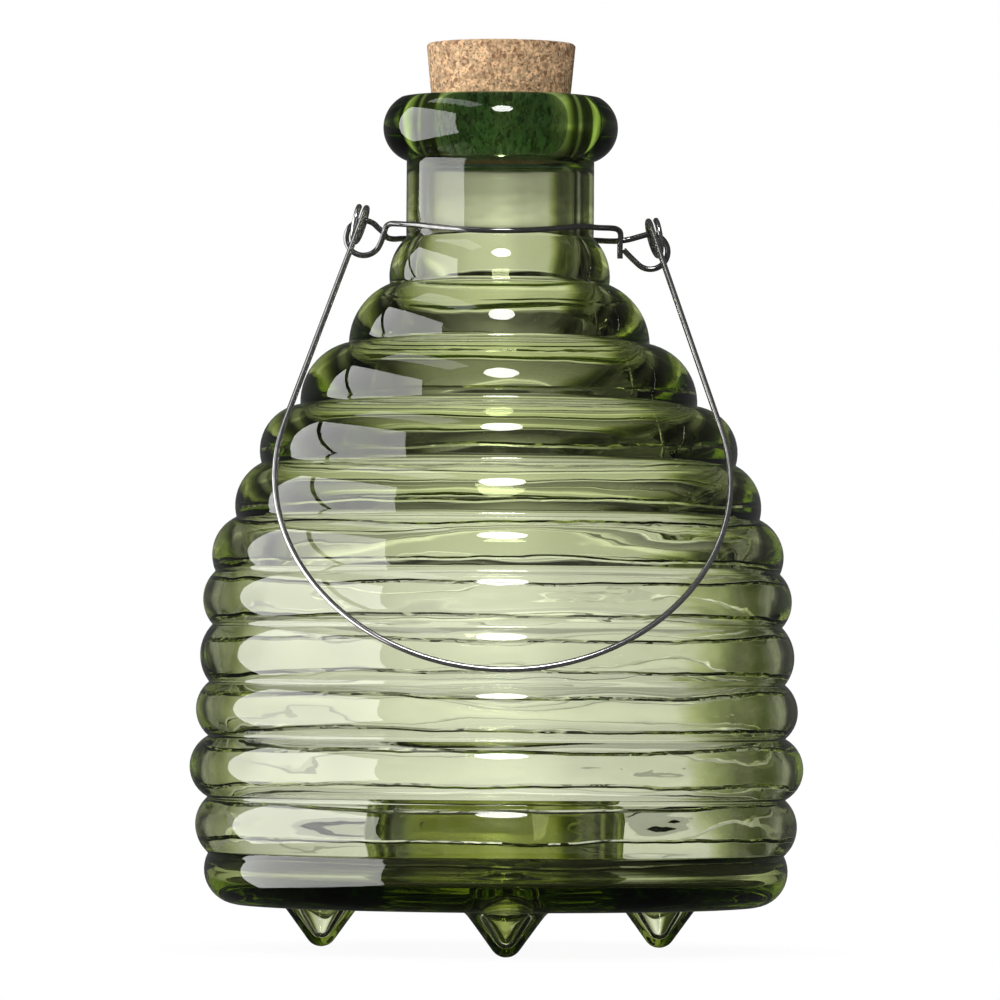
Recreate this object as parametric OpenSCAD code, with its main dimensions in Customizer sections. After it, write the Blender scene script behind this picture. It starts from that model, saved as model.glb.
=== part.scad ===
// Glass fly trap: a ribbed, beehive-shaped bottle on three drawn feet. Flies enter from below through
// a funnel in the base. A tapered cork closes the mouth, and a wire collar round the neck carries a
// wire bail by two eyes. Millimetres, +Z up, origin on the bottle's axis at the tips of the feet.

/* [Glass body] */
// Widest diameter of the ribbed body
body_d = 143.2; // [125:0.2:165]
// Height of an ordinary rib
rib_pitch = 13.2; // [11:0.1:15.5]
// Swell of an ordinary rib beyond its two grooves
rib_bulge = 2.9; // [2.2:0.1:3.5]
// How far the lowest rib, which turns under into the base, stays inside the body's width on each side
base_tuck = 3.6; // [1:0.1:8]
// Height of the lowest rib
base_rib_h = 11.9; // [10.5:0.1:13]
// Rounding of the lowest rib into the flat base
base_round = 8.2; // [7:0.1:9]
// Thickness of the blown wall
wall = 3.4; // [2.6:0.1:4.2]

/* [Neck and lip] */
// Outer diameter of the straight neck
neck_d = 43.8; // [42:0.2:50]
// Height of the straight neck below the lip
neck_h = 18; // [14:0.5:26]
// How far the rounded lip stands out beyond the neck
lip_out = 5.5; // [4.4:0.1:7.5]
// Height of the lip, up to its flat top
lip_h = 14.7; // [13:0.1:15]
// Section radius of the rounded lip
lip_round = 8.1; // [7.8:0.1:9]

/* [Entry funnel] */
// Height of the funnel's rim above the base
funnel_h = 27; // [20:0.5:44]
// Clear diameter at the funnel's rim
funnel_d = 45; // [34:0.5:56]
// Lean of the funnel's wall from upright, in degrees
funnel_lean = 8; // [2:0.5:14]
// Rounding inside the trough where the base turns up into the funnel
funnel_bend = 3; // [2:0.1:5]

/* [Feet] */
// Height of the feet below the base
foot_h = 10.5; // [8:0.1:16]
// Diameter of a foot where it joins the base
foot_d = 19; // [15:0.5:21]
// Radius of a foot's rounded tip
foot_tip = 3.8; // [2.6:0.1:4.4]
// Diameter of the flat that a foot stands on
foot_flat_d = 2.6; // [1.6:0.1:3]
// How far the feet stand outside the middle of the base's flat ring
foot_out = 0.4; // [-2:0.1:2]
// Turn of the feet about the axis, from straight ahead, in degrees
foot_turn = 3; // [-60:1:60]

/* [Cork] */
// Diameter of the cork's top
cork_d = 35; // [33:0.1:37]
// Length of the cork
cork_h = 25.2; // [20:0.2:32]
// Height of cork that stands out of the mouth
cork_proud = 12.6; // [8:0.1:16]
// Taper of the cork's side, in degrees
cork_taper = 5.4; // [3:0.1:7]
// Worn bevel round the cork's ends
cork_bevel = 0.7; // [0.3:0.1:1.2]
// Gap between the cork and the ground mouth
cork_gap = 0.15; // [0.05:0.05:0.3]

/* [Wire] */
// Diameter of the wire
wire_d = 1.35; // [1:0.05:1.6]
// Gap between the collar and the neck
collar_gap = 0.45; // [0.3:0.05:0.8]
// Radius of the collar's two eyes, to the middle of the wire
eye_r = 4.1; // [3.9:0.1:5]
// Distance of the left eye's middle from the neck
eye_reach_left = 9.9; // [8.5:0.1:13]
// Distance of the right eye's middle from the neck
eye_reach_right = 13.2; // [12:0.1:16]
// How much lower the right eye hangs than the left one
eye_drop = 2.75; // [0:0.05:3.5]
// Length of the hooked end that closes the collar
hook_len = 6.8; // [5:0.1:8]

/* [Bail] */
// Radius of the bail's ring ends, to the middle of the wire
ring_r = 4.2; // [3.8:0.1:4.6]
// Distance of a ring's middle outboard of its eye's middle
ring_out = 0.9; // [0.5:0.1:1]
// Radius of the bail's round bow
bow_r = 52; // [46:0.5:58]
// Length of the bail from the rings' middle to the end of the bow
bail_drop = 123.9; // [112:0.1:135]
// Offset of the bow from the middle between the rings
bow_shift = 1.7; // [-2:0.1:3]
// Gap between the resting bail and the glass
rest_gap = 0.35; // [0.25:0.05:1]

/* [Hidden] */
$fn = 96;

glass_green = [0.42, 0.52, 0.29];
cork_tan = [0.76, 0.58, 0.39];
wire_black = [0.16, 0.15, 0.15];

// Each rib above the lowest one: [height over rib_pitch, fullness of its upper groove, swell over rib_bulge].
// Fullness runs from 0 at the neck to 1 at the body's full width.
RIBS = [
    [0.99, 1.00, 1.00], [1.08, 1.00, 1.45], [0.95, 0.996, 1.00], [1.01, 0.98, 0.85],
    [0.94, 0.967, 0.86], [0.96, 0.862, 0.95], [0.955, 0.736, 0.83], [1.04, 0.538, 1.29],
    [1.10, 0.292, 1.17], [1.045, 0.084, 0.86], [0.82, 0, 0.48]
];
// Share of a rib's swell that the inner face follows
inner_follow = 0.55;
largest_swell = max([for (rib = RIBS) rib[2]]);

neck_r = neck_d / 2;
groove_r = body_d / 2 - largest_swell * rib_bulge;
base_centre = [body_d / 2 - base_tuck - base_round, foot_h + base_round];
base_groove_z = foot_h + base_rib_h;
base_groove = [
    base_centre.x + sqrt(pow(base_round, 2) - pow(base_groove_z - base_centre.y, 2)),
    base_groove_z
];

function rise_to(i) = i < 0 ? 0 : rise_to(i - 1) + RIBS[i][0] * rib_pitch;
// Groove points [radius, height] of the outer face, from the lowest groove up to the neck
GROOVES = concat([base_groove], [
    for (i = [0:len(RIBS) - 1])
        [neck_r + RIBS[i][1] * (groove_r - neck_r), base_groove_z + rise_to(i)]
]);
last = len(GROOVES) - 1;
neck_z = GROOVES[last].y;
lip_z = neck_z + neck_h;
mouth_z = lip_z + lip_h;
floor_z = foot_h + wall;

function unit(v) = v / norm(v);
function outward(d) = [d.y, -d.x];
// Groove points of the inner face: each outer groove moved in by the wall, square to the local slope
function slope_at(i) = i == 0 || i == last ? [0, 1] : unit(GROOVES[i + 1] - GROOVES[i - 1]);
INNER = [for (i = [0:last]) GROOVES[i] - wall * outward(slope_at(i))];

// Arc between two points that swells beyond their chord, to the right of the way from a to b
function arc_radius(a, b, swell) = (pow(norm(b - a), 2) / 4 + swell * swell) / (2 * swell);
function arc_centre(a, b, swell) =
    (a + b) / 2 - (arc_radius(a, b, swell) - swell) * outward(unit(b - a));
function arc_points(centre, radius, from, to, steps) = [
    for (i = [0:steps])
        let (turn = from + (to - from) * i / steps)
        centre + radius * [cos(turn), sin(turn)]
];
function bearing(from, to) = atan2(to.y - from.y, to.x - from.x);
function swelling(a, b, swell, steps) =
    let (c = arc_centre(a, b, swell))
    arc_points(c, arc_radius(a, b, swell), bearing(c, a), bearing(c, b), steps);
// A row of points without its first one, which ends the row before it
function onward(points) = [for (i = [1:len(points) - 1]) points[i]];

// Radius of the outer face at a height on the ribs
function rib_index(z, i = 0) = i >= len(RIBS) - 1 || z < GROOVES[i + 1].y ? i : rib_index(z, i + 1);
function rib_face(z, i) =
    let (a = GROOVES[i], b = GROOVES[i + 1], s = RIBS[i][2] * rib_bulge)
    let (c = arc_centre(a, b, s), r = arc_radius(a, b, s))
    c.x + sqrt(max(0, r * r - pow(z - c.y, 2)));
function body_face(z) = rib_face(z, rib_index(z));

// Profile of the glass, in the plane of radius and height

function rib_arcs(points, follow, steps) = [
    for (i = [0:last - 1])
        each onward(swelling(points[i], points[i + 1], RIBS[i][2] * rib_bulge * follow, steps))
];

lip_centre_r = neck_r + lip_out - lip_round;
lip_centre = [lip_centre_r, lip_z + sqrt(pow(lip_round, 2) - pow(neck_r - lip_centre_r, 2))];
OUTSIDE = concat(
    arc_points(base_centre, base_round, -90, bearing(base_centre, base_groove), 12),
    rib_arcs(GROOVES, 1, 10),
    arc_points(lip_centre, lip_round, bearing(lip_centre, [neck_r, lip_z]),
        asin((mouth_z - lip_centre.y) / lip_round), 20)
);

// Radius of the cork's side at a height
cork_top_z = mouth_z + cork_proud;
cork_foot_z = cork_top_z - cork_h;
function cork_side(z) = cork_d / 2 - (cork_top_z - z) * tan(cork_taper);
// The mouth is ground to the cork's taper, a little deeper than the cork goes, and opens into the neck's bore
seat_spare = cork_gap;
seat_z = cork_foot_z - seat_spare;
neck_bore = neck_r - wall;
mouth_foot = [cork_side(seat_z) + cork_gap, seat_z];
MOUTH = [
    [cork_side(mouth_z) + cork_gap, mouth_z], mouth_foot,
    [neck_bore, seat_z - (neck_bore - mouth_foot.x)]
];
INNER_RIBS = rib_arcs(INNER, inner_follow, 8);
INSIDE = concat(
    [for (i = [len(INNER_RIBS) - 1:-1:0]) INNER_RIBS[i]], [INNER[0]],
    arc_points(base_centre, base_round - wall, 0, -90, 8)
);

// The funnel's wall: a bend up from the base, a leaning strip and a rounded rim
bend_mid = funnel_bend + wall / 2;
bend_z = floor_z + funnel_bend;
rim = [funnel_d / 2 + wall / 2, foot_h + funnel_h - wall / 2];
strip_foot_z = bend_z - bend_mid * sin(funnel_lean);
strip_foot_r = rim.x + (rim.y - strip_foot_z) * tan(funnel_lean);
bend_centre = [strip_foot_r + bend_mid * cos(funnel_lean), bend_z];
FUNNEL = concat(
    arc_points(bend_centre, funnel_bend, -90, -180 + funnel_lean, 8),
    arc_points(rim, wall / 2, funnel_lean, 180 + funnel_lean, 12),
    arc_points(bend_centre, funnel_bend + wall, -180 + funnel_lean, -90, 12)
);

module glass_body() {
    color(glass_green, 0.6) rotate_extrude() polygon(concat(OUTSIDE, MOUTH, INSIDE, FUNNEL));
}

// The feet stand round the flat ring of the base, between the funnel's bend and the lowest rib
foot_circle_r = (bend_centre.x + base_centre.x) / 2 + foot_out;
foot_step = 120;

// A drawn drop of glass: a cone that runs tangent into a rounded tip with a small standing flat
module foot(n) {
    tip = [0, sqrt(pow(foot_tip, 2) - pow(foot_flat_d / 2, 2))];
    run = [foot_d / 2, foot_h] - tip;
    lean = atan2(run.x, run.y) - asin(foot_tip / norm(run));
    color(glass_green, 0.6) rotate([0, 0, foot_turn + n * foot_step - 90]) translate([foot_circle_r, 0, 0])
        rotate_extrude() polygon(concat(
            [[0, 0]], arc_points(tip, foot_tip, bearing(tip, [foot_flat_d / 2, 0]), -lean, 10),
            [[foot_d / 2, foot_h], [0, foot_h]]
        ));
}

module cork_stopper() {
    color(cork_tan) rotate_extrude() polygon([
        [0, cork_foot_z], [cork_side(cork_foot_z) - cork_bevel, cork_foot_z],
        [cork_side(cork_foot_z + cork_bevel), cork_foot_z + cork_bevel],
        [cork_side(cork_top_z - cork_bevel), cork_top_z - cork_bevel],
        [cork_side(cork_top_z) - cork_bevel, cork_top_z], [0, cork_top_z]
    ]);
}

// Places on the wires

strand_gap = wire_d / 3;
// Half the distance between the middles of two wires that cross
cross_y = (wire_d + strand_gap) / 2;
collar_r = neck_r + wire_d / 2 + collar_gap;
collar_z = neck_z + wire_d / 2;
eye_sag = 0.63 * wire_d;
eye_left = [-neck_r - eye_reach_left, 0, collar_z - eye_sag];
eye_right = [neck_r + eye_reach_right, 0, eye_left.z - eye_drop];
// A ring hangs a little below the wire of the eye that it goes round
ring_sag = wire_d * 2 / 3;
eye_crossing = sqrt(pow(eye_r, 2) - pow(ring_out, 2));
ring_left = eye_left + [-ring_out, 0, eye_crossing - ring_sag];
ring_right = eye_right + [ring_out, 0, eye_crossing - ring_sag];

// The collar: one wire from its hooked end, round the front of the neck, through the left eye,
// round the back of the neck and through the right eye to its tail. Its bends are in wire diameters.

hook_top = [eye_right.x - eye_r - 2.2 * wire_d, -cross_y, collar_z + 1.1 * wire_d];
left_x = eye_left.x + eye_r;
// Where the straight strands run off the neck towards the hook and the left eye
right_turn = acos(collar_r / hook_top.x);
left_turn = acos(collar_r / -left_x);

function bends(start, steps) = [for (step = steps) start + wire_d * step];
function round_neck(from, to, steps, sag, side_z) = [
    for (i = [0:steps])
        let (a = from + (to - from) * i / steps)
        [collar_r * cos(a), collar_r * sin(a), side_z - sag * pow(sin(a), 2)]
];
function round_eye(middle, from, to, steps, y0, y1) = [
    for (i = [0:steps])
        let (a = from + (to - from) * i / steps)
        middle + [eye_r * cos(a), y0 + (y1 - y0) * i / steps, eye_r * sin(a)]
];
HOOK = concat(
    [hook_top - [0, 0, hook_len], hook_top - [0, 0, hook_len / 2]],
    bends(hook_top, [
        [0.1, 0, -1.4], [0, -0.15, -0.5], [-0.6, -0.8, 0], [-1.6, -2.15, 0.1], [-3.85, -5.2, 0]
    ])
);
FRONT = round_neck(-right_turn, left_turn - 180, 12, 1.8 * wire_d, collar_z + 1.7 * wire_d);
LEFT_IN = bends([left_x, -cross_y, collar_z], [
    [3, -3.9, 1.6], [1.6, -1.85, 1.7], [0.9, -0.6, 1.35], [0.55, 0, 0.5], [0.25, 0, -0.6]
]);
LEFT_EYE = round_eye(eye_left, -28, -322, 18, -cross_y, cross_y);
LEFT_OUT = bends([left_x, cross_y, collar_z], [
    [0.3, 0, 0.4], [0.95, 0.2, -0.45], [2.05, 1.8, -0.65], [3.55, 4, -0.45]
]);
BACK = round_neck(180 - left_turn, right_turn, 12, -0.45 * wire_d, collar_z - 0.3 * wire_d);
RIGHT_IN = bends([hook_top.x, cross_y, collar_z], [
    [-3.85, 5.2, -0.5], [-1.6, 2.15, -0.75], [0, 0, -0.8], [1.8, 0, -0.5]
]);
RIGHT_EYE = round_eye(eye_right, 98, -135, 14, cross_y * 0.6, cross_y * 0.3);
RIGHT_TAIL = bends([hook_top.x, cross_y, eye_right.z], [[1.8, -0.2, -0.9], [0.65, -0.05, 0.3]]);
COLLAR_ROUTE = concat(HOOK, FRONT, LEFT_IN, LEFT_EYE, LEFT_OUT, BACK, RIGHT_IN, RIGHT_EYE, RIGHT_TAIL);

// Smooth curve through the points of a route
function curve_point(p0, p1, p2, p3, t) = 0.5 * (
    2 * p1 + (p2 - p0) * t + (2 * p0 - 5 * p1 + 4 * p2 - p3) * t * t
    + (3 * p1 - p0 - 3 * p2 + p3) * t * t * t);
function smooth_route(points, steps) = let (n = len(points) - 1) concat([
    for (i = [0:n - 1], k = [0:steps - 1])
        curve_point(points[max(0, i - 1)], points[i], points[i + 1], points[min(n, i + 2)], k / steps)
], [points[n]]);

// Tube of round section along a route, whose rings turn as little as they can
module wire_along(points, sides) {
    n = len(points) - 1;
    heading = [for (i = [0:n]) unit(points[min(n, i + 1)] - points[max(0, i - 1)])];
    sideways = [
        for (i = 0, s = unit(cross(heading[0], [0, 1, 0])); i <= n;
            i = i + 1, s = i <= n ? unit(s - (s * heading[i]) * heading[i]) : s) s
    ];
    rings = [
        for (i = [0:n], k = [0:sides - 1])
            points[i] + wire_d / 2 * (
                cos(360 * k / sides) * sideways[i]
                + sin(360 * k / sides) * cross(heading[i], sideways[i]))
    ];
    polyhedron(rings, concat(
        [[for (k = [0:sides - 1]) k]],
        [for (i = [0:n - 1], k = [0:sides - 1])
            let (j = (k + 1) % sides, a = i * sides, b = a + sides)
            each [[a + k, b + k, b + j], [a + k, b + j, a + j]]],
        [[for (k = [sides - 1:-1:0]) n * sides + k]]
    ));
}

module neck_wire() {
    color(wire_black) wire_along(smooth_route(COLLAR_ROUTE, 2), 10);
}

// The bail: one wire with a round bow, two straight legs and a ring turned at the end of each leg.
// It is bent flat, with the rings' middles on the X axis and the bow hanging down, and then leant on the glass.

ring_middle = (ring_left + ring_right) / 2;
ring_half = norm(ring_right - ring_left) / 2;
hinge_tilt = atan2(ring_left.z - ring_right.z, ring_right.x - ring_left.x);
bow_drop = bail_drop - bow_r;

// Turn of a leg from straight down, where it runs tangent from its ring into the bow
function to_bow(side) = [bow_shift - side * ring_half, bow_drop];
function leg_turn(side) =
    atan2(to_bow(side).x, to_bow(side).y) + side * asin(bow_r / norm(to_bow(side)));

// A ring winds up from its leg, over and back down, and its cut end passes the leg on the outer side
ring_turn = 400;
lap_gap = 0.22 * wire_d;
ring_pitch = wire_d + lap_gap;
function ring_points(side) =
    let (along = [sin(leg_turn(side)), 0, -cos(leg_turn(side))], across = side * [along.z, 0, -along.x])
    [for (a = [0:ring_turn / 26:ring_turn])
        [side * ring_half, 0, 0] - ring_r * (sin(a) * along + cos(a) * [0, 1, 0])
        - (a / 360 - 0.5) * ring_pitch * across];
BOW = [
    for (a = arc_points([bow_shift, -bow_drop], bow_r, 180 + leg_turn(-1), 360 + leg_turn(1), 44))
        [a.x, -ring_r, a.y]
];
LEFT_RING = ring_points(-1);
BAIL_ROUTE = concat([for (i = [len(LEFT_RING) - 1:-1:0]) LEFT_RING[i]], BOW, ring_points(1));

// Lean at which the bow's end just clears the rib beside it
function rest_face(z) = max([for (dz = [-1, 0, 1]) body_face(z + dz * wire_d)]);
function bow_end_z(lean) = ring_middle.z - bail_drop * cos(lean) + ring_r * sin(lean);
function bail_lean(n) = n == 0 ? 33 :
    asin((rest_face(bow_end_z(bail_lean(n - 1))) + wire_d / 2 + rest_gap) / norm([bail_drop, ring_r]))
    - atan2(ring_r, bail_drop);

module bail_handle() {
    color(wire_black) translate(ring_middle) rotate([0, hinge_tilt, 0]) rotate([-bail_lean(6), 0, 0])
        wire_along(BAIL_ROUTE, 10);
}

glass_body();
foot(0);  // foot_front
foot(1);  // foot_right
foot(2);  // foot_left
cork_stopper();
neck_wire();
bail_handle();
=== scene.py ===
"""The looks of a glass fly trap: a ribbed bottle on drawn feet, its cork, its wire collar and its bail."""

import math

import bmesh
import bpy
from mathutils import Matrix, Vector, noise


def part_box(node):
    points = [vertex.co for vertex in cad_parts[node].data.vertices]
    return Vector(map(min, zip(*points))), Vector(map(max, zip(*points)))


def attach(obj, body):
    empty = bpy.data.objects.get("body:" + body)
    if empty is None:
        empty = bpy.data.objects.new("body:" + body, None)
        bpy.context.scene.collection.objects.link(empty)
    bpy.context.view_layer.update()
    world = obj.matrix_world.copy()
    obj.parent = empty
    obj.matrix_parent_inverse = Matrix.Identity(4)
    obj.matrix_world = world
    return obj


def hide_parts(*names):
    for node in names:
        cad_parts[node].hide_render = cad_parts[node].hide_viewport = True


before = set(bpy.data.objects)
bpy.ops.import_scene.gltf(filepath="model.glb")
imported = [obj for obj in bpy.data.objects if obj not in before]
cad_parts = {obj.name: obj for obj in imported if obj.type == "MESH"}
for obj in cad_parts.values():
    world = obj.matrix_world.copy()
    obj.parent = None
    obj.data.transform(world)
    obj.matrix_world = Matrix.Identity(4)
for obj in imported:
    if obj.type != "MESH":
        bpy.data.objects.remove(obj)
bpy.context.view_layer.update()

bl_info = {
    "name": "Glass Fly Trap",
    "version": (1, 0, 0),
    "blender": (4, 5, 0),
    "location": "View3D > Sidebar > Fly Trap",
    "description": "Blows a ribbed glass fly trap, stops it with a cork and hangs it in a wire bail",
    "category": "Add Mesh",
}

# Each rib above the lowest one, from the base up: its height over the rib pitch, the fullness of its upper
# groove, from 0 at the neck to 1 at the body's full width, its swell over an ordinary rib's, and how much of
# that swell the inner face follows.
RIBS = (
    (0.99, 1.00, 1.00, 0.92), (1.08, 1.00, 1.45, 0.90), (0.95, 0.996, 1.00, 0.76),
    (1.01, 0.98, 0.85, 0.76), (0.94, 0.967, 0.86, 0.76), (0.96, 0.862, 0.95, 0.55),
    (0.955, 0.736, 0.83, 0.15), (1.04, 0.538, 1.29, 0.15), (1.10, 0.292, 1.17, 0.15),
    (1.045, 0.084, 0.86, 0.15), (0.82, 0.0, 0.48, 0.15),
)
# Grooves, counted from the base, between which the wall grows from the body's thickness to the neck's
THIN_GROOVE, THICK_GROOVE = 5, 8
CORK_TAPER = math.tan(math.radians(5.4))
CORK_GAP = 0.00015
FOOT_NODES = ("foot_front", "foot_right", "foot_left")
# Brightness of the paper sweep by its height, from 0 at the floor to 1 at its top
SWEEP_RISE = (
    (0.0, 0.4), (0.02, 0.64), (0.08, 0.69), (0.11, 0.8), (0.14, 0.72), (0.2, 0.615), (0.32, 0.615),
    (0.345, 1.0), (0.365, 0.85), (0.4, 0.35), (0.52, 0.22), (0.65, 0.04), (1.0, 0.03),
)
# Brightness of the paper sweep by the degrees from the middle of a white card, over a quarter turn
SWEEP_CARD = (
    (-45, 0.35), (-41, 0.35), (-36, 0.03), (-30, (0.05, 0.06, 0.02)), (-25, (0.18, 0.2, 0.1)),
    (-21, (0.38, 0.4, 0.25)), (-18, (0.52, 0.54, 0.4)), (-14, 0.66), (-6, 0.83), (-3.5, 0.94),
    (0, 1.0), (1.5, 1.0), (3.5, 0.85), (9.6, 0.78), (11.2, (0.5, 0.53, 0.35)), (12.8, (0.24, 0.27, 0.13)),
    (14.3, (0.1, 0.11, 0.05)), (17, (0.05, 0.06, 0.02)), (38, 0.03), (43, 0.12), (45, 0.35),
)


def length(name, description, default):
    """A size of the trap, in metres."""
    return bpy.props.FloatProperty(
        name=name, description=description, default=default, unit="LENGTH", precision=5)


def colour(name, description, default):
    """A colour of a finish, in linear light."""
    return bpy.props.FloatVectorProperty(
        name=name, description=description, default=default, subtype="COLOR", size=3, min=0, max=1)


class FlyTrapGlass(bpy.types.PropertyGroup):
    """Sizes and colour of the blown glass."""

    body_d: length("Body width", "Widest diameter of the ribbed body", 0.1432)
    rib_pitch: length("Rib height", "Height of an ordinary rib", 0.0132)
    rib_bulge: length("Rib swell", "Swell of an ordinary rib beyond its grooves", 0.0029)
    base_tuck: length("Base tuck", "How far the lowest rib stays inside the body's width", 0.0036)
    base_rib_h: length("Base rib height", "Height of the lowest rib", 0.0119)
    base_round: length("Base rounding", "Rounding of the lowest rib into the base", 0.0082)
    wall: length("Wall", "Thickness of the wall at mid height", 0.003)
    base_wall: length("Base wall", "Thickness of the base and the funnel", 0.0065)
    neck_wall: length("Neck wall", "Thickness of the wall at the shoulder and neck", 0.0046)
    neck_d: length("Neck width", "Outer diameter of the straight neck", 0.0438)
    neck_h: length("Neck height", "Height of the straight neck", 0.018)
    lip_d: length("Lip width", "Outer diameter of the rounded lip", 0.0548)
    lip_h: length("Lip height", "Height of the lip", 0.0147)
    lip_round: length("Lip rounding", "Section radius of the lip", 0.0081)
    funnel_h: length("Funnel height", "Height of the entry funnel above the base", 0.027)
    funnel_d: length("Funnel width", "Clear diameter at the funnel's rim", 0.045)
    funnel_bend: length("Funnel bend", "Rounding where the base turns up into the funnel", 0.003)
    funnel_lean: bpy.props.FloatProperty(
        name="Funnel lean", description="Lean of the funnel's wall", default=math.radians(8), subtype="ANGLE")
    foot_h: length("Foot height", "Height of the drawn feet", 0.0105)
    foot_d: length("Foot width", "Diameter of a foot where it joins the base", 0.019)
    foot_tip: length("Foot tip", "Radius of a foot's rounded tip", 0.0038)
    waviness: length("Waviness", "Depth of the waves in the blown inner face", 0.00045)
    cord_pitch: length("Cord pitch", "Height between the thin cords in the inner face", 0.0064)
    tint: colour("Tint", "Colour that the glass lets through", (0.62, 0.71, 0.08))
    depth: bpy.props.FloatProperty(
        name="Depth", description="How strongly a metre of the glass takes up light", default=88, min=0)


class FlyTrapCork(bpy.types.PropertyGroup):
    """Sizes and colours of the pressed cork."""

    bevel: length("Worn edge", "Width of the worn edge", 0.0005)
    foot_lift: length("Foot lift", "How far the cork's foot stays up inside the lip", 0.0015)
    pit: length("Pits", "Depth of the pits between the granules", 0.0005)
    light: colour("Light granules", "Colour of the pale granules", (0.84, 0.57, 0.32))
    # The brown granules' colour is also the painted shade in the pits between the granules.
    dark: colour("Dark granules", "Colour of the brown granules", (0.24, 0.11, 0.05))
    bark: colour("Bark specks", "Colour of the specks of bark", (0.06, 0.03, 0.015))


class FlyTrapWire(bpy.types.PropertyGroup):
    """Sizes and colours of the wire."""

    wire_d: length("Wire", "Diameter of the wire", 0.00135)
    collar_gap: length("Collar gap", "Gap between the collar and the neck", 0.00045)
    eye_r: length("Eye radius", "Radius of the collar's two eyes", 0.0041)
    eye_reach_left: length("Left reach", "Distance of the left eye from the neck", 0.0099)
    eye_reach_right: length("Right reach", "Distance of the right eye from the neck", 0.0132)
    eye_drop: length("Eye drop", "How much lower the right eye hangs", 0.00275)
    hook_len: length("Hook", "Length of the collar's hooked end", 0.0068)
    ring_r: length("Ring radius", "Radius of the bail's ring ends", 0.0042)
    ring_out: length("Ring offset", "Distance of a ring outboard of its eye", 0.0009)
    bow_r: length("Bow radius", "Radius of the bail's round bow", 0.052)
    bail_drop: length("Bail length", "Length of the bail from its rings to the end of its bow", 0.1239)
    bow_shift: length("Bow shift", "Offset of the bow from the middle", 0.0017)
    steel: colour("Collar steel", "Colour of the collar's blackened steel", (0.17, 0.167, 0.165))
    # The bail's steel is set brighter than the collar's so that it mirrors the lamps more strongly: a painted
    # highlight.
    brightened_steel: colour("Bail steel", "Colour of the bail's steel, worn brighter by handling", (0.33, 0.326, 0.322))


class FlyTrapStage(bpy.types.PropertyGroup):
    """Camera, lamps and backdrop."""

    camera_far: length("Camera distance", "Distance of the camera from the trap's axis", 1.9)
    camera_z: length("Camera height", "Height of the camera above the floor", 0.066)
    view_width: length("View width", "Width of the view at the trap's axis", 0.2333)
    aim_x: length("Aim across", "Sideways place that the camera looks at", 0.00041)
    aim_z: length("Aim height", "Height that the camera looks at", 0.105)
    roll: bpy.props.FloatProperty(
        name="Roll", description="Roll of the camera", default=0.0066, subtype="ANGLE")
    sweep_r: length("Sweep radius", "Distance of the paper sweep from the trap's axis", 0.4)
    sweep_h: length("Sweep height", "Height of the paper sweep", 0.5)
    sweep_start: length("Sweep start", "Distance of the sweep's inner edge from the trap's axis", 0.088)
    backdrop: colour("Backdrop", "Colour of the backdrop and floor", (1, 1, 1))


# Profile of the glass, as points of radius and height


def arc(centre, radius, start, end, steps):
    """Points on a circle from one angle to another."""
    turns = (start + (end - start) * i / steps for i in range(steps + 1))
    return [centre + radius * Vector((math.cos(a), math.sin(a))) for a in turns]


def bearing(centre, point):
    """Angle of a point seen from a centre."""
    return math.atan2(point.y - centre.y, point.x - centre.x)


def swelling(a, b, swell, steps):
    """Arc between two points that swells to the right of the way, without its first point."""
    way = b - a
    radius = (way.length_squared / 4 + swell * swell) / (2 * swell)
    centre = (a + b) / 2 - (radius - swell) * Vector((way.y, -way.x)).normalized()
    return arc(centre, radius, bearing(centre, a), bearing(centre, b), steps)[1:]


def run(a, b, steps):
    """Even points on a straight stretch, without its first point."""
    return [a.lerp(b, (i + 1) / steps) for i in range(steps)]


def glass_places(g):
    """Places that several pieces share: groove points, and heights of the neck, lip and mouth."""
    neck_r = g.neck_d / 2
    groove_r = g.body_d / 2 - max(swell for _, _, swell, _ in RIBS) * g.rib_bulge
    base = Vector((g.body_d / 2 - g.base_tuck - g.base_round, g.foot_h + g.base_round))
    groove_z = g.foot_h + g.base_rib_h
    grooves = [Vector((base.x + math.sqrt(g.base_round ** 2 - (groove_z - base.y) ** 2), groove_z))]
    for height, fullness, _, _ in RIBS:
        groove_z += height * g.rib_pitch
        grooves.append(Vector((neck_r + fullness * (groove_r - neck_r), groove_z)))
    lip_z = groove_z + g.neck_h
    return {
        "base": base, "grooves": grooves, "neck_z": groove_z, "lip_z": lip_z, "mouth_z": lip_z + g.lip_h}


def funnel_places(g):
    """Rim and bend centre of the entry funnel."""
    floor_z = g.foot_h + g.base_wall
    middle = g.funnel_bend + g.base_wall / 2
    rim = Vector((g.funnel_d / 2 + g.base_wall / 2, g.foot_h + g.funnel_h - g.base_wall / 2))
    bend_z = floor_z + g.funnel_bend
    strip_z = bend_z - middle * math.sin(g.funnel_lean)
    bend_x = rim.x + (rim.y - strip_z) * math.tan(g.funnel_lean) + middle * math.cos(g.funnel_lean)
    return rim, Vector((bend_x, bend_z))


def outer_profile(g):
    """Outside of the glass, from the base's rounding up to the mouth."""
    place = glass_places(g)
    grooves, base = place["grooves"], place["base"]
    points = arc(base, g.base_round, -math.pi / 2, bearing(base, grooves[0]), 14)
    for a, b, (_, _, swell, _) in zip(grooves, grooves[1:], RIBS):
        points += swelling(a, b, swell * g.rib_bulge, 14)
    neck_top = Vector((g.neck_d / 2, place["lip_z"]))
    points += run(points[-1], neck_top, 12)
    lip_r = g.lip_d / 2 - g.lip_round
    lip = Vector((lip_r, place["lip_z"] + math.sqrt(g.lip_round ** 2 - (neck_top.x - lip_r) ** 2)))
    mouth_turn = math.asin((place["mouth_z"] - lip.y) / g.lip_round)
    points += arc(lip, g.lip_round, bearing(lip, neck_top), mouth_turn, 26)[1:]
    return points


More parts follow.
